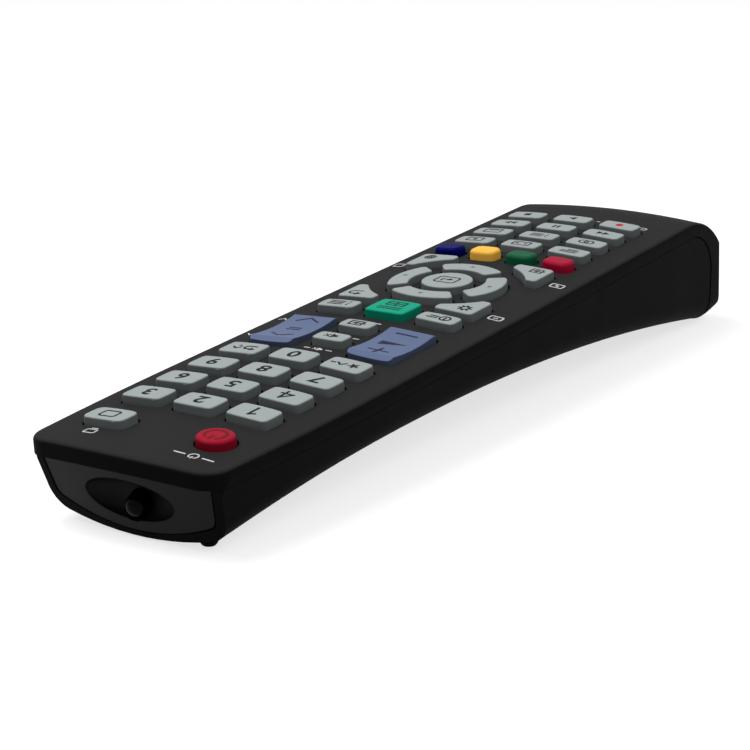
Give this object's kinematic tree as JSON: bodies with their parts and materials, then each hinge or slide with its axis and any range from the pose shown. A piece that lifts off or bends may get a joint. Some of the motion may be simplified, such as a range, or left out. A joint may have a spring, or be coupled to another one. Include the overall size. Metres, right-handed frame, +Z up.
{
  "type": "television remote control",
  "caption": "Handheld television remote control with rubber keys, rocker keys and a deep battery heel.",
  "frame": {"origin": "centre of the bounding box in plan, on the surface that the remote rests on", "axes": "+Z up, +Y along the remote toward the nose with the infrared window, +X to the right of a user who holds it with the nose pointing away; the key face slopes down toward the nose"},
  "size_m": [0.0516, 0.2258, 0.0325],
  "materials": {
    "housing": "matte, finely grained",
    "key_grey": "matte silicone with dark print",
    "power_red": "matte silicone",
    "menu_green": "matte silicone",
    "rocker_blue": "matte silicone",
    "red": "matte silicone",
    "green": "matte silicone",
    "yellow": "matte silicone",
    "blue": "matte silicone",
    "window": "satin, infrared passing",
    "lamp": "clear dark resin",
    "mat": "silicone sheet",
    "board": "solder mask",
    "chip": "moulded resin",
    "capacitor": "shrink sleeve",
    "cell": "printed sleeve",
    "contact": "nickel plated"
  },
  "bodies": {
    "housing": {"bottom_housing": "housing", "top_housing": "housing", "nose_window": "window", "keypad_mat": "mat", "circuit_board": "board", "ir_lamp": "lamp", "control_chip": "chip", "smoothing_capacitor": "capacitor", "battery_left": "cell", "battery_right": "cell", "positive_terminal": "contact", "negative_terminal": "contact", "bridge_terminal": "contact"},
    "battery_cover": {"battery_cover": "housing"},
    "key_1": {"key_1": "key_grey"},
    "key_2": {"key_2": "key_grey"},
    "key_3": {"key_3": "key_grey"},
    "key_4": {"key_4": "key_grey"},
    "key_5": {"key_5": "key_grey"},
    "key_6": {"key_6": "key_grey"},
    "key_7": {"key_7": "key_grey"},
    "key_8": {"key_8": "key_grey"},
    "key_9": {"key_9": "key_grey"},
    "key_favourite": {"key_favourite": "key_grey"},
    "key_0": {"key_0": "key_grey"},
    "key_previous_channel": {"key_previous_channel": "key_grey"},
    "key_tv": {"key_tv": "key_grey"},
    "key_mute": {"key_mute": "key_grey"},
    "key_source": {"key_source": "key_grey"},
    "key_info": {"key_info": "key_grey"},
    "key_guide": {"key_guide": "key_grey"},
    "key_ok": {"key_ok": "key_grey"},
    "key_up": {"key_up": "key_grey"},
    "key_left": {"key_left": "key_grey"},
    "key_down": {"key_down": "key_grey"},
    "key_right": {"key_right": "key_grey"},
    "key_tools": {"key_tools": "key_grey"},
    "key_return": {"key_return": "key_grey"},
    "key_exit": {"key_exit": "key_grey"},
    "key_web": {"key_web": "key_grey"},
    "key_text": {"key_text": "key_grey"},
    "key_size": {"key_size": "key_grey"},
    "key_picture": {"key_picture": "key_grey"},
    "key_dual": {"key_dual": "key_grey"},
    "key_description": {"key_description": "key_grey"},
    "key_subtitle": {"key_subtitle": "key_grey"},
    "key_rewind": {"key_rewind": "key_grey"},
    "key_pause": {"key_pause": "key_grey"},
    "key_forward": {"key_forward": "key_grey"},
    "key_record": {"key_record": "key_grey"},
    "key_play": {"key_play": "key_grey"},
    "key_stop": {"key_stop": "key_grey"},
    "key_power": {"key_power": "power_red"},
    "key_menu": {"key_menu": "menu_green"},
    "key_red": {"key_red": "red"},
    "key_green": {"key_green": "green"},
    "key_yellow": {"key_yellow": "yellow"},
    "key_blue": {"key_blue": "blue"},
    "key_volume": {"key_volume": "rocker_blue"},
    "key_channel": {"key_channel": "rocker_blue"}
  },
  "joints": [
    {"name": "key_1_press", "type": "slide", "parent": "housing", "child": "key_1", "axis": [0, -0.0622, -0.9981], "range_m": [0, 0.001], "stiffness_N_per_m": 400},
    {"name": "key_2_press", "type": "slide", "parent": "housing", "child": "key_2", "axis": [0, -0.0622, -0.9981], "range_m": [0, 0.001], "stiffness_N_per_m": 400},
    {"name": "key_3_press", "type": "slide", "parent": "housing", "child": "key_3", "axis": [0, -0.0622, -0.9981], "range_m": [0, 0.001], "stiffness_N_per_m": 400},
    {"name": "key_4_press", "type": "slide", "parent": "housing", "child": "key_4", "axis": [0, -0.0622, -0.9981], "range_m": [0, 0.001], "stiffness_N_per_m": 400},
    {"name": "key_5_press", "type": "slide", "parent": "housing", "child": "key_5", "axis": [0, -0.0622, -0.9981], "range_m": [0, 0.001], "stiffness_N_per_m": 400},
    {"name": "key_6_press", "type": "slide", "parent": "housing", "child": "key_6", "axis": [0, -0.0622, -0.9981], "range_m": [0, 0.001], "stiffness_N_per_m": 400},
    {"name": "key_7_press", "type": "slide", "parent": "housing", "child": "key_7", "axis": [0, -0.0622, -0.9981], "range_m": [0, 0.001], "stiffness_N_per_m": 400},
    {"name": "key_8_press", "type": "slide", "parent": "housing", "child": "key_8", "axis": [0, -0.0622, -0.9981], "range_m": [0, 0.001], "stiffness_N_per_m": 400},
    {"name": "key_9_press", "type": "slide", "parent": "housing", "child": "key_9", "axis": [0, -0.0622, -0.9981], "range_m": [0, 0.001], "stiffness_N_per_m": 400},
    {"name": "key_favourite_press", "type": "slide", "parent": "housing", "child": "key_favourite", "axis": [0, -0.0622, -0.9981], "range_m": [0, 0.001], "stiffness_N_per_m": 400},
    {"name": "key_0_press", "type": "slide", "parent": "housing", "child": "key_0", "axis": [0, -0.0622, -0.9981], "range_m": [0, 0.001], "stiffness_N_per_m": 400},
    {"name": "key_previous_channel_press", "type": "slide", "parent": "housing", "child": "key_previous_channel", "axis": [0, -0.0622, -0.9981], "range_m": [0, 0.001], "stiffness_N_per_m": 400},
    {"name": "key_tv_press", "type": "slide", "parent": "housing", "child": "key_tv", "axis": [0, -0.0622, -0.9981], "range_m": [0, 0.001], "stiffness_N_per_m": 400},
    {"name": "key_mute_press", "type": "slide", "parent": "housing", "child": "key_mute", "axis": [0, -0.0622, -0.9981], "range_m": [0, 0.001], "stiffness_N_per_m": 400},
    {"name": "key_source_press", "type": "slide", "parent": "housing", "child": "key_source", "axis": [0, -0.0622, -0.9981], "range_m": [0, 0.001], "stiffness_N_per_m": 400},
    {"name": "key_info_press", "type": "slide", "parent": "housing", "child": "key_info", "axis": [0, -0.0622, -0.9981], "range_m": [0, 0.001], "stiffness_N_per_m": 400},
    {"name": "key_guide_press", "type": "slide", "parent": "housing", "child": "key_guide", "axis": [0, -0.0622, -0.9981], "range_m": [0, 0.001], "stiffness_N_per_m": 400},
    {"name": "key_ok_press", "type": "slide", "parent": "housing", "child": "key_ok", "axis": [0, -0.0622, -0.9981], "range_m": [0, 0.001], "stiffness_N_per_m": 400},
    {"name": "key_up_press", "type": "slide", "parent": "housing", "child": "key_up", "axis": [0, -0.0622, -0.9981], "range_m": [0, 0.001], "stiffness_N_per_m": 400},
    {"name": "key_left_press", "type": "slide", "parent": "housing", "child": "key_left", "axis": [0, -0.0622, -0.9981], "range_m": [0, 0.001], "stiffness_N_per_m": 400},
    {"name": "key_down_press", "type": "slide", "parent": "housing", "child": "key_down", "axis": [0, -0.0622, -0.9981], "range_m": [0, 0.001], "stiffness_N_per_m": 400},
    {"name": "key_right_press", "type": "slide", "parent": "housing", "child": "key_right", "axis": [0, -0.0622, -0.9981], "range_m": [0, 0.001], "stiffness_N_per_m": 400},
    {"name": "key_tools_press", "type": "slide", "parent": "housing", "child": "key_tools", "axis": [0, -0.0622, -0.9981], "range_m": [0, 0.001], "stiffness_N_per_m": 400},
    {"name": "key_return_press", "type": "slide", "parent": "housing", "child": "key_return", "axis": [0, -0.0622, -0.9981], "range_m": [0, 0.001], "stiffness_N_per_m": 400},
    {"name": "key_exit_press", "type": "slide", "parent": "housing", "child": "key_exit", "axis": [0, -0.0622, -0.9981], "range_m": [0, 0.001], "stiffness_N_per_m": 400},
    {"name": "key_web_press", "type": "slide", "parent": "housing", "child": "key_web", "axis": [0, -0.0622, -0.9981], "range_m": [0, 0.001], "stiffness_N_per_m": 400},
    {"name": "key_text_press", "type": "slide", "parent": "housing", "child": "key_text", "axis": [0, -0.0622, -0.9981], "range_m": [0, 0.001], "stiffness_N_per_m": 400},
    {"name": "key_size_press", "type": "slide", "parent": "housing", "child": "key_size", "axis": [0, -0.0622, -0.9981], "range_m": [0, 0.001], "stiffness_N_per_m": 400},
    {"name": "key_picture_press", "type": "slide", "parent": "housing", "child": "key_picture", "axis": [0, -0.0622, -0.9981], "range_m": [0, 0.001], "stiffness_N_per_m": 400},
    {"name": "key_dual_press", "type": "slide", "parent": "housing", "child": "key_dual", "axis": [0, -0.0622, -0.9981], "range_m": [0, 0.001], "stiffness_N_per_m": 400},
    {"name": "key_description_press", "type": "slide", "parent": "housing", "child": "key_description", "axis": [0, -0.0622, -0.9981], "range_m": [0, 0.001], "stiffness_N_per_m": 400},
    {"name": "key_subtitle_press", "type": "slide", "parent": "housing", "child": "key_subtitle", "axis": [0, -0.0622, -0.9981], "range_m": [0, 0.001], "stiffness_N_per_m": 400},
    {"name": "key_rewind_press", "type": "slide", "parent": "housing", "child": "key_rewind", "axis": [0, -0.0622, -0.9981], "range_m": [0, 0.001], "stiffness_N_per_m": 400},
    {"name": "key_pause_press", "type": "slide", "parent": "housing", "child": "key_pause", "axis": [0, -0.0622, -0.9981], "range_m": [0, 0.001], "stiffness_N_per_m": 400},
    {"name": "key_forward_press", "type": "slide", "parent": "housing", "child": "key_forward", "axis": [0, -0.0622, -0.9981], "range_m": [0, 0.001], "stiffness_N_per_m": 400},
    {"name": "key_record_press", "type": "slide", "parent": "housing", "child": "key_record", "axis": [0, -0.0622, -0.9981], "range_m": [0, 0.001], "stiffness_N_per_m": 400},
    {"name": "key_play_press", "type": "slide", "parent": "housing", "child": "key_play", "axis": [0, -0.0622, -0.9981], "range_m": [0, 0.001], "stiffness_N_per_m": 400},
    {"name": "key_stop_press", "type": "slide", "parent": "housing", "child": "key_stop", "axis": [0, -0.0622, -0.9981], "range_m": [0, 0.001], "stiffness_N_per_m": 400},
    {"name": "key_power_press", "type": "slide", "parent": "housing", "child": "key_power", "axis": [0, -0.0622, -0.9981], "range_m": [0, 0.001], "stiffness_N_per_m": 400},
    {"name": "key_menu_press", "type": "slide", "parent": "housing", "child": "key_menu", "axis": [0, -0.0622, -0.9981], "range_m": [0, 0.001], "stiffness_N_per_m": 400},
    {"name": "key_red_press", "type": "slide", "parent": "housing", "child": "key_red", "axis": [0, -0.0622, -0.9981], "range_m": [0, 0.001], "stiffness_N_per_m": 400},
    {"name": "key_green_press", "type": "slide", "parent": "housing", "child": "key_green", "axis": [0, -0.0622, -0.9981], "range_m": [0, 0.001], "stiffness_N_per_m": 400},
    {"name": "key_yellow_press", "type": "slide", "parent": "housing", "child": "key_yellow", "axis": [0, -0.0622, -0.9981], "range_m": [0, 0.001], "stiffness_N_per_m": 400},
    {"name": "key_blue_press", "type": "slide", "parent": "housing", "child": "key_blue", "axis": [0, -0.0622, -0.9981], "range_m": [0, 0.001], "stiffness_N_per_m": 400},
    {"name": "key_volume_tip", "type": "hinge", "parent": "housing", "child": "key_volume", "pos_m": [-0.013, 0.03497, 0.02302], "axis": [1, 0, 0], "range_deg": [-4, 4], "stiffness_Nm_per_rad": 0.03},
    {"name": "key_channel_tip", "type": "hinge", "parent": "housing", "child": "key_channel", "pos_m": [0.013, 0.03497, 0.02302], "axis": [1, 0, 0], "range_deg": [-4, 4], "stiffness_Nm_per_rad": 0.03},
    {"name": "battery_cover_hinge", "type": "hinge", "parent": "housing", "child": "battery_cover", "pos_m": [0, -0.04338, 0.00588], "axis": [1, 0, 0], "range_deg": [0, 60]}
  ]
}
